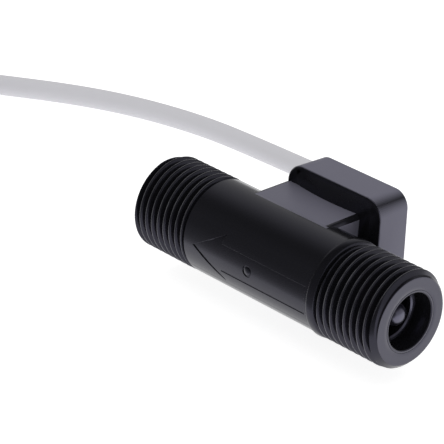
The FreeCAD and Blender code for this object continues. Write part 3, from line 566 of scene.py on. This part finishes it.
def ring_solid(name, rings, around):
    """Closed solid through rings of (x, radius); a radius may be a function of the angle."""
    vertices = []
    for x, radius in rings:
        for step in range(around):
            angle = 2 * math.pi * step / around
            distance = radius(angle) if callable(radius) else radius
            vertices.append((x, distance * math.cos(angle), distance * math.sin(angle)))
    faces = []
    count = len(rings)
    for ring in range(count):
        lower, upper = ring * around, (ring + 1) % count * around
        for step in range(around):
            follower = (step + 1) % around
            faces.append((lower + step, lower + follower, upper + follower, upper + step))
    return closed_mesh(name, vertices, faces)


def thread_rings(inner_x, face_x, face_radius, bore_radius, collar):
    """Rings from the thread's inner end to the end face, into the bore and back."""
    sense = 1 if face_x > inner_x else -1
    length = abs(face_x - inner_x)
    steps = round(length / PITCH * STEPS_PER_PITCH)
    rings = list(collar)
    for step in range(steps + 1):
        x = inner_x + sense * length * step / steps
        rings.append((x, lambda angle, x=x: thread_radius(x, angle, inner_x, face_x, face_radius)))
    solid_radius = CREST_RADIUS - THREAD_DEPTH - FACE_EDGE
    edge_middle = MOUTH_EDGE * ROUND_MIDDLE
    rings += [
        (face_x, solid_radius),
        (face_x, (solid_radius + bore_radius) / 2),
        (face_x, bore_radius + FACE_LINE + FACE_LINE_WIDTH / 2),
        (face_x - sense * FACE_LINE_DEEP, bore_radius + FACE_LINE),
        (face_x, bore_radius + FACE_LINE - FACE_LINE_WIDTH / 2),
        (face_x, bore_radius + MOUTH_EDGE),
        (face_x - sense * edge_middle, bore_radius + edge_middle),
        (face_x - sense * MOUTH_EDGE, bore_radius),
        (rings[0][0], bore_radius),
    ]
    return rings


def crest_highlight_share(place, inner_x, face_x):
    """Share of the painted crest highlight: 1 on the crest of the thread, 0 below it and on the collar."""
    if (place.x - inner_x) * (face_x - inner_x) <= 0:
        return 0.0
    return max(0.0, 1 - (CREST_RADIUS - math.hypot(place.y, place.z)) / CREST_HIGHLIGHT_DEPTH)


def make_thread(name, inner_x, face_x, face_radius, bore_radius, collar=()):
    rings = thread_rings(inner_x, face_x, face_radius, bore_radius, collar)
    mesh = ring_solid(name, rings, THREAD_AROUND)
    smooth(mesh, THREAD_SHARP)
    # Painted highlight on the thread crests, carried as a mesh attribute
    crest_highlight = [crest_highlight_share(vertex.co, inner_x, face_x) for vertex in mesh.vertices]
    mesh.attributes.new("crest_highlight", "FLOAT", "POINT").data.foreach_set("value", crest_highlight)
    return add_piece(name, mesh, "tube_black")


# Barrel, tower, arrow and gate mark: sizes in the CAD tube, and as the photo shows them

COLLAR_X = -2.1 * MM
CAD_BARREL_RADIUS = 10.1 * MM
BARREL_RADIUS = 10.4 * MM
CAD_TOWER_ENDS = (-30.6 * MM, -10.0 * MM)
CAD_TOWER_HALF = 9.8 * MM
TOWER_HALF = 10.25 * MM
CAD_ARROW_CROWN = 12.5 * MM
CAD_ARROW_DEEP = 0.46 * MM
CAD_ARROW_AXIS_Y = CAD_ARROW_CROWN - CAD_BARREL_RADIUS + CAD_ARROW_DEEP
CAD_ARROW_ROUND = 0.15 * MM
ARROW_CROWN = 11.5 * MM
ARROW_DEEP = 0.22 * MM
ARROW_AXIS_Y = ARROW_CROWN - BARREL_RADIUS + ARROW_DEEP
ON_ARROW = ON_SURFACE / 3
GATE_X = -19.3 * MM
GATE_RADIUS = 1.3 * MM
GATE_DEEP = 0.2 * MM
GATE_FLOOR_Y = GATE_DEEP - BARREL_RADIUS + ARROW_DEEP
GATE_NUB_RADIUS = 0.95 * MM
GATE_NUB_RISE = 0.35 * MM
NUB_STEPS = 16
NUB_SHARP = 60
# Round surfaces of the barrel: place of the axis in Y, and radius
ROUND_SURFACES = [(0.0, BARREL_RADIUS), (ARROW_AXIS_Y, ARROW_CROWN)]
# Largest X in the normal of a face that runs along X
ALONG_X = 0.1
WELD = 0.0005 * MM
CUT_SLACK = 0.002 * MM
CUT_SNAP = 0.0002 * MM
BARREL_SHARP = 24


def follow_rounds(mesh):
    """Give the faces that lie on a round surface along X the exact normals of that surface."""
    normals = [Vector(item.vector) for item in mesh.corner_normals]
    for face in mesh.polygons:
        corners = [mesh.vertices[index].co for index in face.vertices]
        for axis_y, radius in ROUND_SURFACES:
            axis = Vector((0.0, axis_y, 0.0))
            offsets = [corner * Vector((0, 1, 1)) - axis for corner in corners]
            on_round = all(abs(offset.length - radius) < ON_SURFACE for offset in offsets)
            if on_round and abs(face.normal.x) < ALONG_X:
                sign = 1.0 if face.normal.dot(sum(offsets, Vector())) > 0 else -1.0
                for loop, offset in zip(face.loop_indices, offsets):
                    normals[loop] = offset.normalized() * sign
    mesh.normals_split_custom_set(normals)


def fit_barrel(mesh):
    """Give the CAD barrel, tower, arrow and gate mark the sizes that the photo shows."""
    for vertex in mesh.vertices:
        x, y, z = vertex.co
        reach = math.hypot(y, z)
        on_arrow = abs(math.hypot(y - CAD_ARROW_AXIS_Y, z) - CAD_ARROW_CROWN) < ON_ARROW
        near_barrel = -CAD_ARROW_ROUND < reach - CAD_BARREL_RADIUS < ON_SURFACE
        at_end = min(x - OUTLET_THREAD_X, COLLAR_X - x) < ON_SURFACE
        if near_barrel and at_end:
            vertex.co *= Vector((1.0, BARREL_RADIUS / reach, BARREL_RADIUS / reach))
        elif y < 0 and on_arrow:
            vertex.co.y = ARROW_AXIS_Y - math.sqrt(ARROW_CROWN ** 2 - z ** 2)
        elif y < 0 and math.hypot(x - GATE_X, z) < GATE_RADIUS + ON_SURFACE:
            vertex.co.y = GATE_FLOOR_Y
        elif y < 0 and near_barrel:
            scale = 1 + (BARREL_RADIUS - CAD_BARREL_RADIUS) / reach
            vertex.co *= Vector((1.0, scale, scale))
        elif y > 0 and not at_end and reach > CAD_BARREL_RADIUS - ON_SURFACE:
            if x > CAD_TOWER_ENDS[1] - TOWER_ROUND - ON_SURFACE:
                vertex.co.x += TOWER_ENDS[1] - CAD_TOWER_ENDS[1]
            if abs(z) > CAD_TOWER_HALF - TOWER_ROUND - ON_SURFACE:
                vertex.co.z += math.copysign(TOWER_HALF - CAD_TOWER_HALF, z)
            if near_barrel:
                vertex.co.y = math.sqrt(BARREL_RADIUS ** 2 - vertex.co.z ** 2)


def make_barrel():
    """Middle of the CAD tube between the two threads."""
    mesh = frame["nodes"]["flow_tube"].data.copy()
    bm = bmesh.new()
    bm.from_mesh(mesh)
    bmesh.ops.remove_doubles(bm, verts=bm.verts, dist=WELD)
    for x, outward in ((COLLAR_X - CUT_SLACK, 1), (OUTLET_THREAD_X + CUT_SLACK, -1)):
        geometry = bm.verts[:] + bm.edges[:] + bm.faces[:]
        cut = bmesh.ops.bisect_plane(bm, geom=geometry, dist=CUT_SNAP, plane_co=(x, 0, 0),
                                     plane_no=(outward, 0, 0), clear_outer=True)
        rim = [item for item in cut["geom_cut"] if isinstance(item, bmesh.types.BMEdge)]
        bmesh.ops.bridge_loops(bm, edges=rim)
    bm.to_mesh(mesh)
    bm.free()
    if mesh.has_custom_normals:
        mesh.attributes.remove(mesh.attributes["custom_normal"])
    fit_barrel(mesh)
    smooth(mesh, BARREL_SHARP)
    follow_rounds(mesh)
    return add_piece("tube_barrel", mesh, "tube_black", ("flow_tube",))


def make_gate_nub():
    """Low round nub in the middle of the gate mark."""
    mesh = bpy.data.meshes.new("gate_nub")
    bm = bmesh.new()
    bmesh.ops.create_uvsphere(bm, u_segments=2 * NUB_STEPS, v_segments=NUB_STEPS, radius=GATE_NUB_RADIUS)
    bmesh.ops.scale(bm, vec=(1.0, GATE_NUB_RISE / GATE_NUB_RADIUS, 1.0), verts=bm.verts)
    bmesh.ops.translate(bm, vec=(GATE_X, GATE_FLOOR_Y, 0.0), verts=bm.verts)
    bm.to_mesh(mesh)
    bm.free()
    smooth(mesh, NUB_SHARP)
    return add_piece("gate_nub", mesh, "tube_black")


# Collar between the barrel and the inlet thread

COLLAR_RADIUS = 10.7 * MM
COLLAR_RISE = 0.25 * MM
COLLAR_FALL = 0.4 * MM
COLLAR_SHOULDER_X = 0.0


def collar_rings():
    """Rings of the collar, from the barrel to the inlet thread."""
    rise_middle = ROUND_MIDDLE * COLLAR_RISE
    return [
        (COLLAR_X, BARREL_RADIUS),
        (COLLAR_X, COLLAR_RADIUS - COLLAR_RISE),
        (COLLAR_X + rise_middle, COLLAR_RADIUS - rise_middle),
        (COLLAR_X + COLLAR_RISE, COLLAR_RADIUS),
        (COLLAR_X + 2 * COLLAR_RISE, COLLAR_RADIUS),
        (COLLAR_SHOULDER_X - COLLAR_FALL, COLLAR_RADIUS - COLLAR_FALL / 2),
        (COLLAR_SHOULDER_X - COLLAR_FALL / 2, COLLAR_RADIUS - COLLAR_FALL),
    ]


make_barrel()
make_gate_nub()
make_thread("inlet_thread", COLLAR_SHOULDER_X, INLET_X, INLET_FACE_RADIUS, BORE_RADIUS, collar_rings())
make_thread("outlet_thread", OUTLET_THREAD_X, OUTLET_X, OUTLET_FACE_RADIUS, OUTLET_BORE_RADIUS)

# Pick-up housing: the CAD shell, with the rear corners as tight as in the photo, and a crown on its front

BOX_MIDDLE_X = -16.95 * MM
BOX_FRONT_Y = 11.3 * MM
BOX_DEEP = 8.6 * MM
BOX_HALF_X = 13.35 * MM
BOX_HALF_Z = 14.55 * MM
BOX_DRAFT = 0.4 * MM
BOX_ROUND = 4.3 * MM
REAR_ROUND = 3.5 * MM
CROWN_HALF_X = 10.5 * MM
CROWN_HALF_Z = 13.5 * MM
CROWN_RISE = 2.1 * MM
CROWN_SUNK = 0.3 * MM
CROWN_STEPS = 24
CROWN_SHARP = 40


def make_housing():
    """CAD shell whose corners tighten towards the rear."""
    mesh = frame["nodes"]["sensor_housing"].data.copy()
    normals = [Vector(item.vector) for item in mesh.corner_normals]
    for vertex in mesh.vertices:
        share = (vertex.co.y - BOX_FRONT_Y) / BOX_DEEP
        half_x, half_z = BOX_HALF_X - BOX_DRAFT * share, BOX_HALF_Z - BOX_DRAFT * share
        beside, above = abs(vertex.co.x - BOX_MIDDLE_X), abs(vertex.co.z)
        corner_x, corner_z = beside - half_x + BOX_ROUND, above - half_z + BOX_ROUND
        reach = math.hypot(corner_x, corner_z)
        if min(corner_x, corner_z) > -ON_SURFACE and abs(reach - BOX_ROUND) < ON_SURFACE:
            tight = BOX_ROUND + (REAR_ROUND - BOX_ROUND) * share
            beside = half_x - tight + tight * corner_x / reach
            above = half_z - tight + tight * corner_z / reach
            vertex.co.x = BOX_MIDDLE_X + math.copysign(beside, vertex.co.x - BOX_MIDDLE_X)
            vertex.co.z = math.copysign(above, vertex.co.z)
    mesh.normals_split_custom_set(normals)
    return add_piece("housing_shell", mesh, SLOTS["sensor_housing"], ("sensor_housing",))


def make_front_crown():
    """Shallow crown on the front wall, which shows above and below the tower."""
    mesh = bpy.data.meshes.new("front_crown")
    bm = bmesh.new()
    bmesh.ops.create_grid(bm, x_segments=CROWN_STEPS, y_segments=CROWN_STEPS, size=1.0)
    wall = bmesh.ops.extrude_face_region(bm, geom=bm.faces[:])["geom"]
    base = {item for item in wall if isinstance(item, bmesh.types.BMVert)}
    for vertex in bm.verts:
        across, up = vertex.co.x, vertex.co.y
        rise = -CROWN_SUNK if vertex in base else CROWN_RISE * (1 - across ** 2) * (1 - up ** 2)
        vertex.co = (BOX_MIDDLE_X + across * CROWN_HALF_X, BOX_FRONT_Y - rise, up * CROWN_HALF_Z)
    bmesh.ops.recalc_face_normals(bm, faces=bm.faces)
    bm.to_mesh(mesh)
    bm.free()
    smooth(mesh, CROWN_SHARP)
    return add_piece("front_crown", mesh, SLOTS["sensor_housing"])


make_housing()
make_front_crown()

# CAD nodes that show as they are

for node, thing in frame["nodes"].items():
    thing.data.materials.clear()
    thing.data.materials.append(materials[SLOTS[node]])

# Studio: pale floor, bright walls behind the object and at its side, dark in front and above, a soft lamp

FLOOR_SIZE = 6.0
FLOOR_COLOUR = (0.45, 0.45, 0.45, 1.0)
FLOOR_ROUGHNESS = 0.9
FLOOR_SPECULAR = 0.1
# Glow of the floor to rays that gather light, and to rays that see it
FLOOR_GLOW = (0.74, 0.86)
WORLD_LEVEL = 0.55
BLACK = (0, 0, 0, 1)
WHITE = (1, 1, 1, 1)
LAMP_AZIMUTH = 0.0
LAMP_ELEVATION = 88.0
LAMP_DISTANCE = 1.0
LAMP_SIZE = 1.4
LAMP_POWER = 5.0
# Dome that reflections see: brightness of its parts, and the angles over which each fades out
DOME_RADIUS = 2.2
DOME_STEP = 5
WALL_LEVEL = 0.44
WALL_AT = CAMERA_AZIMUTH + 180.0
WALL_FADE = (34.0, 74.0)
WALL_SWING = (16.0, 64.0)
SIDE_LEVEL = 0.6
SIDE_AT = -115.0
SIDE_SWING = (35.0, 70.0)
SIDE_FADE = (22.0, 55.0)
FRONT_LEVEL = 0.12
FRONT_FADE = (5.0, 40.0)
DARK_LEVEL = 0.03
# Card along the tube, in front of it: place in Y, ends in X, and (height in mm, brightness) up its face
CARD_Y = -28.0 * MM
CARD_ENDS = (-190.0 * MM, 70.0 * MM)
CARD_ROWS = [(0.0, 0.9), (3.0, 0.62), (6.0, 0.43), (10.0, 0.3), (16.0, 0.19), (23.0, 0.1), (60.0, 0.04)]


def fade_out(value, limits):
    """1 below the first limit, 0 above the second."""
    return 1 - ease((value - limits[0]) / (limits[1] - limits[0]))


def studio_level(azimuth, elevation):
    """Brightness that the studio shows to a glossy surface in a direction."""
    swing = (azimuth - WALL_AT + 180) % 360 - 180
    wall = fade_out(elevation, WALL_FADE) * fade_out(abs(swing), WALL_SWING)
    side = fade_out(elevation, SIDE_FADE) * fade_out(abs(swing - SIDE_AT), SIDE_SWING)
    front = fade_out(elevation, FRONT_FADE)
    return DARK_LEVEL + max(WALL_LEVEL * wall, SIDE_LEVEL * side, FRONT_LEVEL * front)


def seen_directly(nodes, links):
    """1 for rays from the camera, a reflection or a clear surface, 0 for rays that gather light."""
    rays = nodes.new("ShaderNodeLightPath").outputs
    direct = arithmetic(nodes, links, "MAXIMUM", rays["Is Camera Ray"], rays["Is Glossy Ray"])
    return arithmetic(nodes, links, "MAXIMUM", direct, rays["Is Transmission Ray"])


def add_stage(name, vertices, faces, material):
    """Put a thing of the studio in the scene, which is no part of the object."""
    mesh = bpy.data.meshes.new(name)
    mesh.from_pydata(vertices, [], faces)
    mesh.materials.append(material)
    thing = bpy.data.objects.new(name, mesh)
    bpy.context.scene.collection.objects.link(thing)
    return thing


def make_floor():
    material, nodes, links, shader = new_material("floor_white")
    shader.inputs["Base Color"].default_value = FLOOR_COLOUR
    shader.inputs["Roughness"].default_value = FLOOR_ROUGHNESS
    shader.inputs["Specular IOR Level"].default_value = FLOOR_SPECULAR
    shader.inputs["Emission Color"].default_value = WHITE
    glow = spread(nodes, links, seen_directly(nodes, links), FLOOR_GLOW, (0.0, 1.0))
    links.new(glow, shader.inputs["Emission Strength"])
    half = FLOOR_SIZE / 2
    corners = [(-half, -half), (half, -half), (half, half), (-half, half)]
    add_stage("floor", [(x, y, FLOOR_Z) for x, y in corners], [(0, 1, 2, 3)], material)


def add_reflector(name, vertices, faces, levels):
    """Glowing surface that only reflections see, with a brightness at each vertex."""
    material, nodes, links, shader = new_material(name)
    shader.inputs["Base Color"].default_value = BLACK
    shader.inputs["Specular IOR Level"].default_value = 0.0
    shader.inputs["Emission Color"].default_value = WHITE
    level = nodes.new("ShaderNodeAttribute")
    level.attribute_name = "level"
    links.new(level.outputs["Fac"], shader.inputs["Emission Strength"])
    reflector = add_stage(name, vertices, faces, material)
    reflector.data.attributes.new("level", "FLOAT", "POINT").data.foreach_set("value", levels)
    reflector.visible_camera = False
    reflector.visible_diffuse = False
    reflector.visible_shadow = False


def make_dome():
    """Dome with a bright wall behind the object and another at its side, dark in front and above."""
    azimuths = range(0, 360, DOME_STEP)
    elevations = range(0, 90 + DOME_STEP, DOME_STEP)
    places = [(azimuth, elevation) for azimuth in azimuths for elevation in elevations]
    vertices = [direction(*place) * DOME_RADIUS for place in places]
    levels = [studio_level(*place) for place in places]
    rows, count = len(elevations), len(azimuths)
    faces = []
    for column in range(count):
        left, right = column * rows, (column + 1) % count * rows
        for row in range(rows - 1):
            faces.append((left + row, right + row, right + row + 1, left + row + 1))
    add_reflector("studio_dome", vertices, faces, levels)


def make_card():
    """Standing card, white at the floor and dark above."""
    vertices, levels, faces = [], [], []
    for row, (height, level) in enumerate(CARD_ROWS):
        vertices += [(x, CARD_Y, FLOOR_Z + height * MM) for x in CARD_ENDS]
        levels += [level, level]
        if row:
            low, high = 2 * row - 2, 2 * row
            faces.append((low, low + 1, high + 1, high))
    add_reflector("front_card", vertices, faces, levels)


def make_world():
    world = bpy.data.worlds.new("studio")
    bpy.context.scene.world = world
    world.use_nodes = True
    nodes, links = world.node_tree.nodes, world.node_tree.links
    lighting = nodes["Background"]
    lighting.inputs["Color"].default_value = WHITE
    lighting.inputs["Strength"].default_value = WORLD_LEVEL
    seen = nodes.new("ShaderNodeBackground")
    seen.inputs["Color"].default_value = WHITE
    seen.inputs["Strength"].default_value = 1.0
    mix = nodes.new("ShaderNodeMixShader")
    links.new(seen_directly(nodes, links), mix.inputs["Fac"])
    links.new(lighting.outputs[0], mix.inputs[1])
    links.new(seen.outputs[0], mix.inputs[2])
    links.new(mix.outputs[0], nodes["World Output"].inputs["Surface"])


def make_lamp():
    """Soft overhead lamp, which reflections don't show."""
    data = bpy.data.lights.new("overhead", "AREA")
    data.size = LAMP_SIZE
    data.energy = LAMP_POWER
    lamp = bpy.data.objects.new("overhead", data)
    place = direction(LAMP_AZIMUTH, LAMP_ELEVATION)
    lamp.location = place * LAMP_DISTANCE
    lamp.rotation_euler = place.to_track_quat("Z", "Y").to_euler()
    lamp.visible_glossy = False
    bpy.context.scene.collection.objects.link(lamp)


make_floor()
make_dome()
make_card()
make_world()
make_lamp()
bpy.context.scene.view_settings.view_transform = "Standard"
